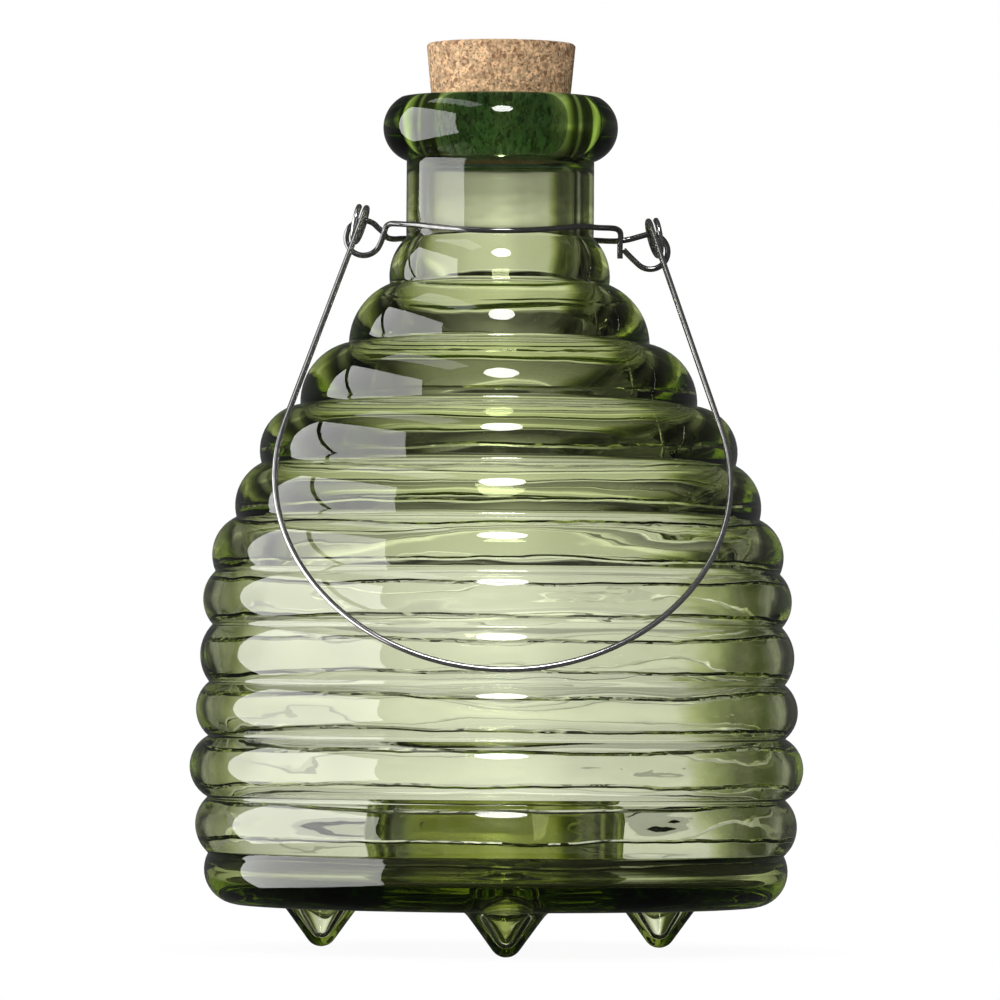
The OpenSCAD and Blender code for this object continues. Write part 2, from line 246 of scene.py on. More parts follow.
def inner_profile(g):
    """Inside of the glass, from the mouth down to the floor beside the funnel."""
    place = glass_places(g)
    grooves, base = place["grooves"], place["base"]
    low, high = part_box("cork_stopper")
    seat_r = high.x - (high.z - low.z) * CORK_TAPER + CORK_GAP
    mouth_r = high.x - (high.z - place["mouth_z"]) * CORK_TAPER + CORK_GAP
    bore = g.neck_d / 2 - g.neck_wall
    mouth = Vector((mouth_r, place["mouth_z"]))
    seat = Vector((seat_r, low.z - CORK_GAP))
    flare = 1.6
    throat = Vector((bore, seat.y - flare * (bore - seat.x)))
    points = [mouth] + run(mouth, seat, 8) + run(seat, throat, 4)
    last = len(grooves) - 1
    thin_z, thick_z = grooves[THIN_GROOVE].y, grooves[THICK_GROOVE].y
    inner = []
    for i, p in enumerate(grooves):
        along = Vector((0, 1)) if i in (0, last) else (grooves[i + 1] - grooves[i - 1]).normalized()
        share = min(1, max(0, (p.y - thin_z) / (thick_z - thin_z)))
        inner.append(p - (g.wall + (g.neck_wall - g.wall) * share) * Vector((along.y, -along.x)))
    points += run(points[-1], inner[last], 8)
    for i in range(last, 0, -1):
        _, _, swell, follow = RIBS[i - 1]
        rib = swelling(inner[i - 1], inner[i], swell * g.rib_bulge * follow, 11)
        points += rib[-2::-1] + [inner[i - 1]]
    points += arc(base, g.base_round - g.base_wall, 0, -math.pi / 2, 10)
    return points


def funnel_profile(g):
    """The funnel's wall: up from the floor, over its rim and down into the base's underside."""
    rim, bend = funnel_places(g)
    lean = g.funnel_lean
    wet = arc(bend, g.funnel_bend, -math.pi / 2, lean - math.pi, 8)
    top = arc(rim, g.base_wall / 2, lean, math.pi + lean, 14)
    dry = arc(bend, g.funnel_bend + g.base_wall, lean - math.pi, -math.pi / 2, 12)
    return wet + run(wet[-1], top[0], 18) + top[1:] + run(top[-1], dry[0], 16) + dry[1:]


def drop_depth(away, root_r, depth, tip_r):
    """Reach of a drawn drop at a distance from its axis: a cone with a rounded tip and a soft root."""
    tip = depth - tip_r
    lean = math.atan2(root_r, tip) - math.asin(tip_r / math.hypot(root_r, tip))
    if away < tip_r * math.cos(lean):
        return tip + math.sqrt(tip_r ** 2 - away ** 2)
    soft = 0.0009
    flank = (root_r - away) / math.tan(lean)
    return (flank + math.hypot(flank, soft)) / 2


# Mesh and material helpers


def piece(name, bm, body, replaced, finish):
    """Object of a finished bmesh that rides on a body and stands for CAD nodes."""
    mesh = bpy.data.meshes.new(name)
    bm.to_mesh(mesh)
    bm.free()
    obj = bpy.data.objects.new(name, mesh)
    bpy.context.collection.objects.link(obj)
    mesh.materials.append(finish)
    mesh.shade_smooth()
    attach(obj, body)
    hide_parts(*replaced)
    return obj


def lathe(points, steps, closed=True, inside=()):
    """Bmesh of a profile of radius and height, spun about the Z axis, with its inside points marked."""
    bm = bmesh.new()
    mark = bm.verts.layers.float.new("inside")
    row = [bm.verts.new((p.x, 0, p.y)) for p in points]
    for i in inside:
        row[i][mark] = 1
    edges = [bm.edges.new(pair) for pair in zip(row, row[1:])]
    if closed and row[0].co.x > 1e-6:
        edges.append(bm.edges.new((row[-1], row[0])))
    bmesh.ops.spin(
        bm, geom=row + edges, cent=(0, 0, 0), axis=(0, 0, 1), angle=math.tau, steps=steps, use_merge=True)
    bmesh.ops.remove_doubles(bm, verts=bm.verts, dist=1e-7)
    bmesh.ops.recalc_face_normals(bm, faces=bm.faces)
    return bm


def wire(points, diameter):
    """Bmesh of a round wire along the points, with cut ends that are a little eased."""
    curve = bpy.data.curves.new("wire_route", "CURVE")
    curve.dimensions = "3D"
    curve.bevel_depth = diameter / 2
    curve.bevel_resolution = 5
    curve.use_fill_caps = True
    spline = curve.splines.new("POLY")
    spline.points.add(len(points) - 1)
    for place, p in zip(spline.points, points):
        place.co = (*p, 1)
    holder = bpy.data.objects.new("wire_route", curve)
    bpy.context.collection.objects.link(holder)
    mesh = bpy.data.meshes.new_from_object(holder.evaluated_get(bpy.context.evaluated_depsgraph_get()))
    bpy.data.objects.remove(holder)
    bpy.data.curves.remove(curve)
    bm = bmesh.new()
    bm.from_mesh(mesh)
    bpy.data.meshes.remove(mesh)
    bmesh.ops.remove_doubles(bm, verts=bm.verts, dist=1e-7)
    caps = [f for f in bm.faces if len(f.verts) > 4]
    rims = list({e for f in caps for e in f.edges})
    bmesh.ops.bevel(
        bm, geom=rims, offset=diameter * 0.12, offset_type="OFFSET", segments=2, profile=0.5,
        affect="EDGES", material=-1)
    bmesh.ops.recalc_face_normals(bm, faces=bm.faces)
    return bm


def new_finish(name):
    """Empty material with its node tree, shader and output."""
    material = bpy.data.materials.new(name)
    material.use_nodes = True
    nodes = material.node_tree.nodes
    return material, material.node_tree, nodes["Principled BSDF"], nodes["Material Output"]


def feed(tree, socket, value):
    """Link a socket to another one, or set it to a plain value."""
    if isinstance(value, bpy.types.NodeSocket):
        tree.links.new(value, socket)
    else:
        socket.default_value = value


def add(tree, kind, **inputs):
    """Node of a kind with its inputs fed, where an input is named with _ for a space."""
    node = tree.nodes.new(kind)
    for key, value in inputs.items():
        feed(tree, node.inputs[key.replace("_", " ")], value)
    return node


def axes(tree, kind="Object"):
    """Sockets X, Y and Z of a place."""
    place = tree.nodes.new("ShaderNodeTexCoord")
    return add(tree, "ShaderNodeSeparateXYZ", Vector=place.outputs[kind]).outputs


def mottle(tree, scale, detail, roughness, stretch=None):
    """Noise in the piece's own coordinates, which can be stretched first."""
    place = tree.nodes.new("ShaderNodeTexCoord").outputs["Object"]
    if stretch:
        place = add(tree, "ShaderNodeMapping", Vector=place, Scale=stretch).outputs["Vector"]
    texture = add(
        tree, "ShaderNodeTexNoise", Vector=place, Scale=scale, Detail=detail, Roughness=roughness)
    return texture.outputs["Fac"]


def calculate(tree, operation, *terms):
    """Result of a sum on sockets or numbers."""
    node = tree.nodes.new("ShaderNodeMath")
    node.operation = operation
    for socket, value in zip(node.inputs, terms):
        feed(tree, socket, value)
    return node.outputs["Value"]


def measure(tree, source, low, high):
    """Place of a socket's value between two numbers, from 0 to 1."""
    return add(tree, "ShaderNodeMapRange", Value=source, From_Min=low, From_Max=high).outputs["Result"]


def blend(tree, factor, a, b, mode="MIX"):
    """Mix of two colours by a factor."""
    node = tree.nodes.new("ShaderNodeMix")
    node.data_type, node.blend_type = "RGBA", mode
    for name, value in (("Factor", factor), ("A", a), ("B", b)):
        feed(tree, node.inputs[name], value)
    return node.outputs["Result"]


def ramp(tree, source, stops):
    """Colour ramp fed by a socket, with stops of a place and a colour."""
    node = tree.nodes.new("ShaderNodeValToRGB")
    points = node.color_ramp.elements
    while len(points) < len(stops):
        points.new(0.5)
    for point, (place, shade) in zip(points, stops):
        point.position = place
        point.color = (*shade, 1) if hasattr(shade, "__len__") else (shade, shade, shade, 1)
    tree.links.new(source, node.inputs["Fac"])
    return node.outputs["Color"]


def axis_gap(tree, at):
    """Distance of a place from the Z axis."""
    x, y = at["X"], at["Y"]
    return calculate(tree, "SQRT", calculate(tree, "MULTIPLY_ADD", x, x, calculate(tree, "MULTIPLY", y, y)))


def glass_shade(tree, g, at, inside):
    """Colour of the glass's faces: bluer at the lip, most in its bore, and deeper olive at the funnel."""
    edge = 0.001
    lip_z = glass_places(g)["lip_z"]
    outside_share = 0.35
    lip = calculate(tree, "MULTIPLY_ADD", inside, 1 - outside_share, outside_share)
    lip = calculate(tree, "MULTIPLY", measure(tree, at["Z"], lip_z - edge, lip_z), lip)
    lip = ramp(tree, lip, ((0, 1.0), (outside_share, (0.84, 0.98, 1.0)), (1, (0.34, 0.86, 1.0))))
    rim, bend = funnel_places(g)
    top = rim.y + g.base_wall
    funnel = calculate(
        tree, "MULTIPLY", measure(tree, axis_gap(tree, at), bend.x, bend.x - edge),
        measure(tree, at["Z"], top, top - edge))
    return blend(tree, 1, lip, ramp(tree, funnel, ((0, 1.0), (1, (0.72, 0.73, 0.5)))), "MULTIPLY")


def green_glass(g):
    """Clear gloss glass that takes up light by its depth, with a faintly uneven blown face."""
    material, tree, shader, out = new_finish("green_glass")
    at, inside = axes(tree), axes(tree, "UV")["Y"]
    feed(tree, shader.inputs["Base Color"], glass_shade(tree, g, at, inside))
    shader.inputs["Roughness"].default_value = 0.0
    shader.inputs["IOR"].default_value = 1.5
    shader.inputs["Transmission Weight"].default_value = 1
    uneven = mottle(tree, 1, 2, 0.5, (55, 55, 130))
    bump = add(tree, "ShaderNodeBump", Strength=0.12, Distance=0.0006, Height=uneven)
    drift = calculate(tree, "MULTIPLY", mottle(tree, 1, 4, 0.5, (22, 22, 60)), 0.6)
    level = calculate(tree, "MULTIPLY_ADD", at["Z"], 1 / g.cord_pitch, drift)
    thread = ramp(tree, calculate(tree, "FRACT", level), ((0.44, 0), (0.5, 1), (0.56, 0)))
    fade_end, fade_start = 0.155, 0.095
    fade = calculate(tree, "MULTIPLY", measure(tree, at["Z"], fade_end, fade_start), inside)
    cords = add(
        tree, "ShaderNodeBump", Strength=1, Distance=0.0002,
        Height=calculate(tree, "MULTIPLY", thread, fade), Normal=bump.outputs["Normal"])
    feed(tree, shader.inputs["Normal"], cords.outputs["Normal"])
    depth = add(tree, "ShaderNodeVolumeAbsorption", Color=(*g.tint, 1), Density=g.depth)
    feed(tree, out.inputs["Volume"], depth.outputs["Volume"])
    return material


def pressed_cork(c):
    """Granules of pale and brown cork, pressed together, with specks of bark, and open pits darkened with
    painted shade.
    """
    material, tree, shader, _ = new_finish("pressed_cork")
    place = tree.nodes.new("ShaderNodeTexCoord").outputs["Object"]
    granules = add(tree, "ShaderNodeTexVoronoi", Vector=place, Scale=1150)
    which = add(tree, "ShaderNodeSeparateColor", Color=granules.outputs["Color"]).outputs["Red"]
    grain_and_pit_shade = mottle(tree, 1500, 5, 0.75)
    cloud = mottle(tree, 210, 4, 0.65)
    specks = mottle(tree, 760, 5, 0.7)
    light, dark = Vector(c.light), Vector(c.dark)
    shade = ramp(tree, which, (
        (0.0, tuple(light * 0.62)), (0.35, tuple(light)), (0.75, tuple(light * 1.3)),
        (1.0, tuple(dark * 1.3))))
    shade = blend(tree, ramp(tree, cloud, ((0.45, 0.0), (0.75, 0.55))), shade, (*c.dark, 1))
    # Painted shade: the low places of the bump are darkened to the brown granules' colour, as shade in the
    # pits.
    shade = blend(tree, ramp(tree, grain_and_pit_shade, ((0.39, 1.0), (0.5, 0.0))), shade, (*c.dark, 1))
    shade = blend(tree, ramp(tree, specks, ((0.57, 0.0), (0.65, 0.9))), shade, (*c.bark, 1))
    feed(tree, shader.inputs["Base Color"], shade)
    shader.inputs["Roughness"].default_value = 0.85
    bump = add(tree, "ShaderNodeBump", Strength=1.0, Distance=0.0018, Height=grain_and_pit_shade)
    feed(tree, shader.inputs["Normal"], bump.outputs["Normal"])
    return material


def drawn_wire(name, steel):
    """Drawn steel wire with a thin uneven black skin."""
    material, tree, shader, _ = new_finish(name)
    skin = mottle(tree, 900, 3, 0.6)
    steel = Vector(steel)
    shade = ramp(tree, skin, ((0.3, tuple(steel * 0.75)), (0.7, tuple(steel * 1.15))))
    feed(tree, shader.inputs["Base Color"], shade)
    feed(tree, shader.inputs["Roughness"], ramp(tree, skin, ((0.3, 0.14), (0.7, 0.1))))
    shader.inputs["Metallic"].default_value = 0.9
    return material


# Operators


class FLYTRAP_OT_blow_glass(bpy.types.Operator):
    """Blow the ribbed glass with its funnel and draw the three feet"""

    bl_idname = "flytrap.blow_glass"
    bl_label = "Blow Glass"

    def execute(self, context):
        g = context.scene.fly_trap_glass
        base_x, bend_x = glass_places(g)["base"].x, funnel_places(g)[1].x
        floor_z = g.foot_h + g.base_wall
        rings, steps = 26, 168
        underside = run(Vector((bend_x, g.foot_h)), Vector((base_x, g.foot_h)), rings)[:-1]
        floor = run(Vector((base_x, floor_z)), Vector((bend_x, floor_z)), rings)[:-1]
        outside = outer_profile(g)
        inside = inner_profile(g)
        bm = lathe(
            outside + inside + floor + funnel_profile(g) + underside, steps,
            inside=range(len(outside), len(outside + inside)))
        self.draw_feet(bm, g, floor_z)
        self.wave(bm, g)
        side = bm.loops.layers.uv.new("side")
        mark = bm.verts.layers.float["inside"]
        for corner in (corner for f in bm.faces for corner in f.loops):
            corner[side].uv = (0, corner.vert[mark])
        piece("glass", bm, "glass", ("glass_body", *FOOT_NODES), green_glass(g))
        return {"FINISHED"}

    def draw_feet(self, bm, g, floor_z):
        """Pull the base down into three hollow drops, after a finer mesh is laid where they are drawn."""
        boxes = [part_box(node) for node in FOOT_NODES]
        middles = [((low + high) / 2).xy for low, high in boxes]
        root, tip_wall, flat = g.foot_d / 2, 0.0029, 1e-6
        finer_r, hollow_r, hollow_tip = root * 1.25, root * 0.87, g.foot_tip * 0.4

        def away(v):
            return min((v.co.xy - m).length for m in middles)

        for level in (g.foot_h, floor_z):
            faces = [f for f in bm.faces if all(abs(v.co.z - level) < flat for v in f.verts)]
            near = {e for f in faces if away(min(f.verts, key=away)) < finer_r for e in f.edges}
            bmesh.ops.subdivide_edges(bm, edges=list(near), cuts=2, use_grid_fill=True)
        hollow_depth = floor_z - tip_wall
        for v in bm.verts:
            if abs(v.co.z - g.foot_h) < flat:
                v.co.z = max(0, g.foot_h - drop_depth(away(v), root, g.foot_h, g.foot_tip))
            elif abs(v.co.z - floor_z) < flat:
                v.co.z = floor_z - drop_depth(away(v), hollow_r, hollow_depth, hollow_tip)

    def wave(self, bm, g):
        """Give the blown inner face its waves, and the moulded outer face a trace of them."""
        place = glass_places(g)
        mark = bm.verts.layers.float["inside"]
        clear_r, clear_z = funnel_places(g)[0].x + 0.014, 0.05
        outer_trace = 0.15
        for v in bm.verts:
            r = v.co.xy.length
            if not place["grooves"][0].y < v.co.z < place["neck_z"] or r < clear_r and v.co.z < clear_z:
                continue
            wave = noise.noise(Vector((v.co.x * 26, v.co.y * 26, v.co.z * 75)))
            wave += 0.45 * noise.noise(Vector((v.co.x * 50, v.co.y * 50, v.co.z * 240)) + Vector((7, 3, 1)))
            shift = wave * g.waviness if v[mark] else (wave - 1) * g.waviness * outer_trace
            v.co.x += v.co.x / r * shift
            v.co.y += v.co.y / r * shift


class FLYTRAP_OT_cut_cork(bpy.types.Operator):
    """Turn the tapered cork and open its pits"""

    bl_idname = "flytrap.cut_cork"
    bl_label = "Cut Cork"

    def execute(self, context):
        c = context.scene.fly_trap_cork
        low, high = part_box("cork_stopper")
        foot_z = low.z + c.foot_lift
        foot_r = high.x - (high.z - foot_z) * CORK_TAPER
        foot, top = Vector((foot_r, foot_z)), Vector((high.x, high.z))
        slope = (top - foot).normalized()
        profile = run(Vector((0, foot_z)), foot - Vector((c.bevel, 0)), 24)
        profile = [Vector((0, foot_z))] + profile + run(profile[-1], foot + slope * c.bevel, 3)
        profile += run(profile[-1], top - slope * c.bevel, 44)
        profile += run(profile[-1], top - Vector((c.bevel, 0)), 3)
        profile += run(profile[-1], Vector((0, high.z)), 28)
        bm = lathe(profile, 180)
        bm.normal_update()
        open_z = glass_places(context.scene.fly_trap_glass)["mouth_z"] - 0.001
        pressed = 0.15
        moves = []
        for v in bm.verts:
            p = v.co * 1000
            rough = noise.noise(p * 0.9) * 0.25 + noise.noise(p * 2.3) * 0.2
            cell = noise.voronoi(p * 0.55)[0][0]
            pit = max(0, 0.34 - cell) * max(0, noise.noise(p * 0.3 + Vector((4, 4, 4))) + 0.25)
            deep = min(1, 0.3 * abs(rough) + 3.2 * pit) if v.co.z > open_z else pressed
            moves.append(v.normal * -c.pit * deep)
        for v, move in zip(bm.verts, moves):
            v.co += move
        piece("cork", bm, "cork", ("cork_stopper",), pressed_cork(c))
        return {"FINISHED"}


def smooth_route(points, steps):
    """Smooth curve through points, with even steps between each two."""
    last = len(points) - 1
    route = []
    for i in range(last):
        p0, p1, p2, p3 = points[max(0, i - 1)], points[i], points[i + 1], points[min(last, i + 2)]
        for k in range(steps):
            t = k / steps
            route.append(0.5 * (2 * p1 + (p2 - p0) * t + (2 * p0 - 5 * p1 + 4 * p2 - p3) * t * t
                                + (3 * p1 - p0 - 3 * p2 + p3) * t ** 3))
    return route + [points[last]]


def wire_places(g, w):
    """Places on the wires: middles of the eyes and rings, and where strands cross."""
    place = glass_places(g)
    neck_r = g.neck_d / 2
    collar_z = place["neck_z"] + w.wire_d / 2
    eye_left = Vector((-neck_r - w.eye_reach_left, 0, collar_z - 0.63 * w.wire_d))
    eye_right = Vector((neck_r + w.eye_reach_right, 0, eye_left.z - w.eye_drop))
    rise = math.sqrt(w.eye_r ** 2 - w.ring_out ** 2) - w.wire_d * 2 / 3
    return {
        "collar_z": collar_z, "collar_r": neck_r + w.wire_d / 2 + w.collar_gap,
        "cross": w.wire_d * 2 / 3, "eye_left": eye_left, "eye_right": eye_right,
        "ring_left": eye_left + Vector((-w.ring_out, 0, rise)),
        "ring_right": eye_right + Vector((w.ring_out, 0, rise)),
    }


class FLYTRAP_OT_bend_collar(bpy.types.Operator):
    """Bend the collar round the neck, with its hook and its two eyes"""

    bl_idname = "flytrap.bend_collar"
    bl_label = "Bend Collar"

    def execute(self, context):
        g, w = context.scene.fly_trap_glass, context.scene.fly_trap_wire
        piece("collar", wire(smooth_route(self.route(g, w), 6), w.wire_d),
              "collar", ("neck_wire",), drawn_wire("black_wire", w.steel))
        return {"FINISHED"}

    def route(self, g, w):
        """One wire: its hook, the front strand, the left eye, the back strand and the right eye."""
        at = wire_places(g, w)
        z, r, cross = at["collar_z"], at["collar_r"], at["cross"]
        left, right = at["eye_left"], at["eye_right"]
        hook = Vector((right.x - w.eye_r - 2.2 * w.wire_d, -cross, z + 1.1 * w.wire_d))
        left_x = left.x + w.eye_r
        right_turn, left_turn = math.acos(r / hook.x), math.acos(r / -left_x)

        def bends(start, steps):
            return [start + w.wire_d * Vector(s) for s in steps]

        def round_neck(start, end, sag, side_z):
            turns = (start + (end - start) * i / 12 for i in range(13))
            return [
                Vector((r * math.cos(a), r * math.sin(a), side_z - sag * math.sin(a) ** 2)) for a in turns]

        def round_eye(middle, start, end, steps, y0, y1):
            shares = [i / steps for i in range(steps + 1)]
            turns = [math.radians(start + (end - start) * t) for t in shares]
            return [
                middle + Vector((w.eye_r * math.cos(a), y0 + (y1 - y0) * t, w.eye_r * math.sin(a)))
                for a, t in zip(turns, shares)]

        down = Vector((0, 0, w.hook_len))
        return (
            [hook - down, hook - down / 2]
            + bends(hook, (
                (0.1, 0, -1.4), (0, -0.15, -0.5), (-0.6, -0.8, 0), (-1.6, -2.15, 0.1), (-3.85, -5.2, 0)))
            + round_neck(-right_turn, left_turn - math.pi, 1.8 * w.wire_d, z + 1.7 * w.wire_d)
            + bends(Vector((left_x, -cross, z)), (
                (3, -3.9, 1.6), (1.6, -1.85, 1.7), (0.9, -0.6, 1.35), (0.55, 0, 0.5), (0.25, 0, -0.6)))
            + round_eye(left, -28, -322, 18, -cross, cross)
            + bends(Vector((left_x, cross, z)), (
                (0.3, 0, 0.4), (0.95, 0.2, -0.45), (2.05, 1.8, -0.65), (3.55, 4, -0.45)))
            + round_neck(math.pi - left_turn, right_turn, -0.45 * w.wire_d, z - 0.3 * w.wire_d)
            + bends(Vector((hook.x, cross, z)), (
                (-3.85, 5.2, -0.5), (-1.6, 2.15, -0.75), (0, 0, -0.8), (1.8, 0, -0.5)))
            + round_eye(right, 98, -135, 14, cross * 0.6, cross * 0.3)
            + bends(Vector((hook.x, cross, right.z)), ((1.8, -0.2, -0.9), (0.65, -0.05, 0.3)))
        )


class FLYTRAP_OT_bend_bail(bpy.types.Operator):
    """Bend the bail with its bow, its legs and its ring ends, and lean it on the glass"""

    bl_idname = "flytrap.bend_bail"
    bl_label = "Bend Bail"

    def execute(self, context):
        g, w = context.scene.fly_trap_glass, context.scene.fly_trap_wire
        at = wire_places(g, w)
        span = at["ring_right"] - at["ring_left"]
        middle = (at["ring_left"] + at["ring_right"]) / 2
        tilt = math.atan2(-span.z, span.x)
        turn = Matrix.Rotation(tilt, 4, "Y") @ Matrix.Rotation(-self.lean(w), 4, "X")
        hang = Matrix.Translation(middle) @ turn
        route = [hang @ p for p in self.flat_route(w, span.length / 2)]
        # The bail takes the brighter steel, a painted highlight for its brighter reflections.
        piece("bail", wire(route, w.wire_d),
              "bail", ("bail_handle",), drawn_wire("brightened_wire", w.brightened_steel))
        return {"FINISHED"}

    def lean(self, w):
        """Lean at which the bow's end just clears the rib beside it."""
        low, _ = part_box("bail_handle")
        reach = -low.y - w.wire_d / 2
        return math.asin(reach / math.hypot(w.bail_drop, w.ring_r)) - math.atan2(w.ring_r, w.bail_drop)

    def flat_route(self, w, half):
        """The bail as bent flat, ring, leg, bow, leg and ring, with the rings' middles on the X axis."""
        drop = w.bail_drop - w.bow_r
        pitch = 1.22 * w.wire_d
        turns = {}
        for side in (-1, 1):
            to_bow = Vector((w.bow_shift - side * half, drop))
            turns[side] = math.atan2(to_bow.x, to_bow.y) + side * math.asin(w.bow_r / to_bow.length)

        def ring(side):
            along = Vector((math.sin(turns[side]), 0, -math.cos(turns[side])))
            across = side * Vector((along.z, 0, -along.x))
            middle, back = Vector((side * half, 0, 0)), Vector((0, 1, 0))
            points = []
            for i in range(61):
                a = math.radians(400) * i / 60
                spoke = w.ring_r * (math.sin(a) * along + math.cos(a) * back)
                points.append(middle - spoke - (a / math.tau - 0.5) * pitch * across)
            return points

        bow = arc(Vector((w.bow_shift, -drop)), w.bow_r, math.pi + turns[-1], math.tau + turns[1], 110)
        return ring(-1)[::-1] + [Vector((p.x, -w.ring_r, p.y)) for p in bow] + ring(1)


class FLYTRAP_OT_set_stage(bpy.types.Operator):
    """Set the floor, the backdrop, the lamps and the camera"""

    bl_idname = "flytrap.set_stage"
    bl_label = "Set Stage"

    def execute(self, context):
        s = context.scene.fly_trap_stage
        context.scene.view_settings.view_transform = "Standard"
        context.scene.cycles.max_bounces = 24
        context.scene.cycles.transmission_bounces = 24
        context.scene.cycles.glossy_bounces = 12
        self.floor(s)
        self.sweep(s)
        self.backdrop(context.scene, s)
        target = Vector((0, 0, 0.11))
        front = ((1, -1), (1, -0.2), (0.96, 0.3), (0.85, 0.72))
        self.softbox("left_softbox", target, 81, 4, 1.0, (1.5, 1.6), (4.6, 5.8), front)
        card = self.softbox("high_card", target, 75, 62, 1.0, (0.9, 0.22), (2.2, 2.2))
        card.visible_diffuse = card.visible_transmission = False
        self.lamp("top_front", target, -2, 46, 1.4, (0.42, 0.5), 11, "ELLIPSE")
        fill = self.lamp("front_fill", target, 4, 12, 1.6, (1.0, 1.0), 21)
        fill.visible_glossy = False
        self.camera(context.scene, s)
        return {"FINISHED"}

    def floor(self, s):
        """Pale floor that the camera sees as white, with the trap's soft shadow near its feet, and painted
        nearly black where it is seen through the glass, as painted shade under and behind the trap.
        """
        bm = bmesh.new()
        bmesh.ops.create_grid(bm, x_segments=1, y_segments=1, size=6)
        floor = self.stage_piece("floor", bm)
        floor.visible_glossy = False
        material, tree, shader, out = new_finish("pale_floor")
        ray = tree.nodes.new("ShaderNodeLightPath").outputs
        # Painted shade: seen through the glass, the floor's colour drops to nearly black, not the floor's own
        # colour.
        paper = blend(tree, ray["Is Transmission Ray"], (0.55, 0.55, 0.55, 1), (0.02, 0.02, 0.012, 1))
        feed(tree, shader.inputs["Base Color"], paper)
        shader.inputs["Roughness"].default_value = 0.9
        white = add(tree, "ShaderNodeEmission", Color=(*s.backdrop, 1), Strength=1)
        shadow = 0.05
        share = calculate(
            tree, "MULTIPLY_ADD", measure(tree, axis_gap(tree, axes(tree)), 0.05, 0.09), shadow, 1 - shadow)
        seen = calculate(tree, "MULTIPLY", ray["Is Camera Ray"], share)
        self.either(tree, out, seen, shader.outputs["BSDF"], white.outputs["Emission"])
        floor.data.materials.append(material)

    def either(self, tree, out, factor, first, second):
        """Show the first shader, or the second one by a factor."""
        mix = add(tree, "ShaderNodeMixShader", Fac=factor)
        feed(tree, mix.inputs[1], first)
        feed(tree, mix.inputs[2], second)
        feed(tree, out.inputs["Surface"], mix.outputs["Shader"])

    def stage_piece(self, name, bm):
        """Object of the stage, which is no part of the trap."""
        mesh = bpy.data.meshes.new(name)
        bm.to_mesh(mesh)
        bm.free()
        obj = bpy.data.objects.new(name, mesh)
        bpy.context.collection.objects.link(obj)
        return obj

    def sweep(self, s):
        """Round paper sweep that only light through the glass shows, with a white card every quarter turn."""
        floor_z = 0.0005
        corners = (s.sweep_start, floor_z), (s.sweep_r, floor_z), (s.sweep_r, s.sweep_h)
        profile = [Vector(corner) for corner in corners]
        sweep = self.stage_piece("sweep", lathe(profile, 96, closed=False))
        material, tree, shader, out = new_finish("sweep")
        tree.nodes.remove(shader)
        at = axes(tree)
        upright = ramp(tree, measure(tree, at["Z"], 0, s.sweep_h), SWEEP_RISE)
        eighth = math.pi / 4
        turn = calculate(tree, "WRAP", calculate(tree, "ARCTAN2", at["X"], at["Y"]), eighth, -eighth)
        # On the floor the cards keep the width that they have upright, so their angle narrows
        turn = calculate(tree, "MULTIPLY", turn, calculate(tree, "DIVIDE", axis_gap(tree, at), s.sweep_r))
        level = ramp(
            tree, measure(tree, turn, -eighth, eighth), [((a + 45) / 90, shade) for a, shade in SWEEP_CARD])
        paper = add(
            tree, "ShaderNodeEmission", Color=blend(tree, 1, upright, level, "MULTIPLY"), Strength=1.4)
        clear = tree.nodes.new("ShaderNodeBsdfTransparent")
        ray = tree.nodes.new("ShaderNodeLightPath").outputs
        self.either(tree, out, ray["Is Transmission Ray"], clear.outputs["BSDF"], paper.outputs["Emission"])
        sweep.data.materials.append(material)
        sweep.visible_diffuse = False
        sweep.visible_shadow = False

    def backdrop(self, scene, s):
        """White for the camera, and for mirror images a faint band round the horizon."""
        world = bpy.data.worlds.new("studio")
        scene.world = world
        world.use_nodes = True
        tree = world.node_tree
        band = ramp(tree, measure(tree, axes(tree, "Generated")["Z"], -1, 1), (
            (0.0, 0.04), (0.40, 0.05), (0.48, 0.10), (0.56, 0.10), (0.66, 0.06), (1.0, 0.05)))
        ray = tree.nodes.new("ShaderNodeLightPath").outputs
        shade = blend(tree, ray["Is Camera Ray"], band, (*s.backdrop, 1))
        feed(tree, tree.nodes["Background"].inputs["Color"], shade)

    def aim(self, obj, target, azimuth, elevation, far):
        """Set an object left of the camera by an azimuth and up by an elevation, facing the trap."""
        a, e = math.radians(azimuth), math.radians(elevation)
        way = Vector((-math.sin(a) * math.cos(e), -math.cos(a) * math.cos(e), math.sin(e)))
        obj.location = target + way * far
        obj.rotation_euler = way.to_track_quat("Z", "Y").to_euler()
        obj.visible_camera = False

    def softbox(self, name, target, azimuth, elevation, far, size, bright, front=((1, -1), (1, 1))):
        """Softbox, dimmer at its far end, whose near edge can be bowed so that the ribs mirror it upright."""
        width, height = size
        far_end, near_end = bright
        bm = bmesh.new()
        corners = (*front, (-1, 1), (-1, -1))
        bm.faces.new([bm.verts.new((x * width / 2, y * height / 2, 0)) for x, y in corners])
        box = self.stage_piece(name, bm)
        self.aim(box, target, azimuth, elevation, far)
        material, tree, shader, out = new_finish("softbox")
        tree.nodes.remove(shader)
        near = measure(tree, axes(tree)["X"], -width / 2, width / 2)
        level = calculate(tree, "MULTIPLY_ADD", near, near_end - far_end, far_end)
        cloth = add(tree, "ShaderNodeEmission", Strength=level)
        feed(tree, out.inputs["Surface"], cloth.outputs["Emission"])
        box.data.materials.append(material)
        return box

    def lamp(self, name, target, azimuth, elevation, far, size, power, shape="RECTANGLE"):
        """Area lamp that faces the trap."""
        light = bpy.data.lights.new(name, "AREA")
        light.shape = shape
        light.size, light.size_y = size
        light.energy = power
        lamp = bpy.data.objects.new(name, light)
        bpy.context.collection.objects.link(lamp)
        self.aim(lamp, target, azimuth, elevation, far)
        return lamp

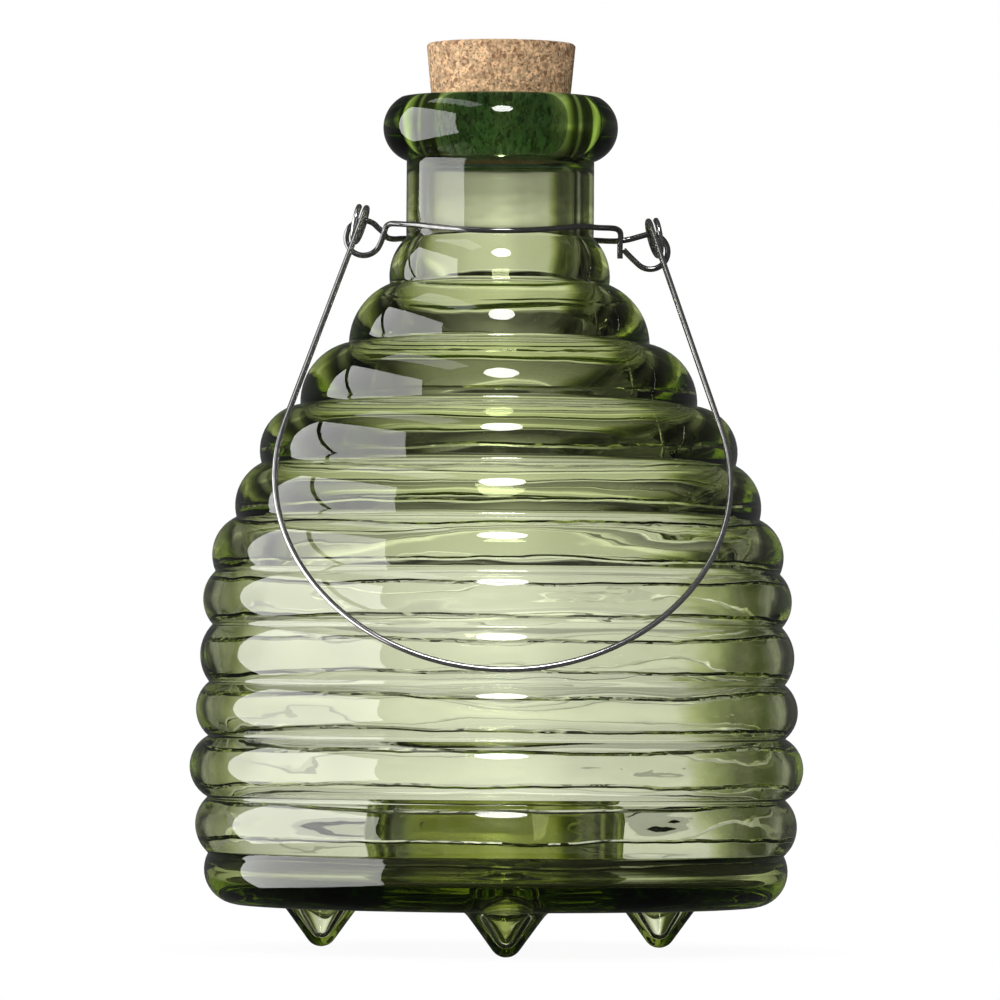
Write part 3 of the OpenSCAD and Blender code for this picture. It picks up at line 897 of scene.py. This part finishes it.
    def camera(self, scene, s):
        """Long lens at the photograph's low viewing angle."""
        lens = bpy.data.cameras.new("camera")
        camera = bpy.data.objects.new("camera", lens)
        bpy.context.collection.objects.link(camera)
        aim = Vector((s.aim_x, 0, s.aim_z))
        camera.location = (0, -s.camera_far, s.camera_z)
        way = camera.location - aim
        turn = way.to_track_quat("Z", "Y").to_matrix() @ Matrix.Rotation(s.roll, 3, "Z")
        camera.rotation_euler = turn.to_euler()
        lens.sensor_width = 36
        lens.lens = lens.sensor_width * way.length / s.view_width
        lens.clip_end = 50
        scene.camera = camera


class FLYTRAP_PT_panel(bpy.types.Panel):
    """Lists the pieces of the fly trap and their sizes"""

    bl_label = "Glass Fly Trap"
    bl_idname = "FLYTRAP_PT_panel"
    bl_space_type = "VIEW_3D"
    bl_region_type = "UI"
    bl_category = "Fly Trap"

    def draw(self, context):
        for operator, group in STEPS:
            box = self.layout.box()
            box.operator(operator.bl_idname)
            settings = getattr(context.scene, group)
            for name in settings.__annotations__:
                box.prop(settings, name)


GROUPS = {
    "fly_trap_glass": FlyTrapGlass,
    "fly_trap_cork": FlyTrapCork,
    "fly_trap_wire": FlyTrapWire,
    "fly_trap_stage": FlyTrapStage,
}
STEPS = (
    (FLYTRAP_OT_blow_glass, "fly_trap_glass"),
    (FLYTRAP_OT_cut_cork, "fly_trap_cork"),
    (FLYTRAP_OT_bend_collar, "fly_trap_wire"),
    (FLYTRAP_OT_bend_bail, "fly_trap_wire"),
    (FLYTRAP_OT_set_stage, "fly_trap_stage"),
)
CLASSES = (*GROUPS.values(), *(operator for operator, _ in STEPS), FLYTRAP_PT_panel)


def register():
    for cls in CLASSES:
        bpy.utils.register_class(cls)
    for name, group in GROUPS.items():
        setattr(bpy.types.Scene, name, bpy.props.PointerProperty(type=group))


def unregister():
    for name in GROUPS:
        delattr(bpy.types.Scene, name)
    for cls in reversed(CLASSES):
        bpy.utils.unregister_class(cls)


def main():
    """Build every piece and the stage."""
    register()
    bpy.ops.flytrap.blow_glass()
    bpy.ops.flytrap.cut_cork()
    bpy.ops.flytrap.bend_collar()
    bpy.ops.flytrap.bend_bail()
    bpy.ops.flytrap.set_stage()


if __name__ == "__main__":
    main()
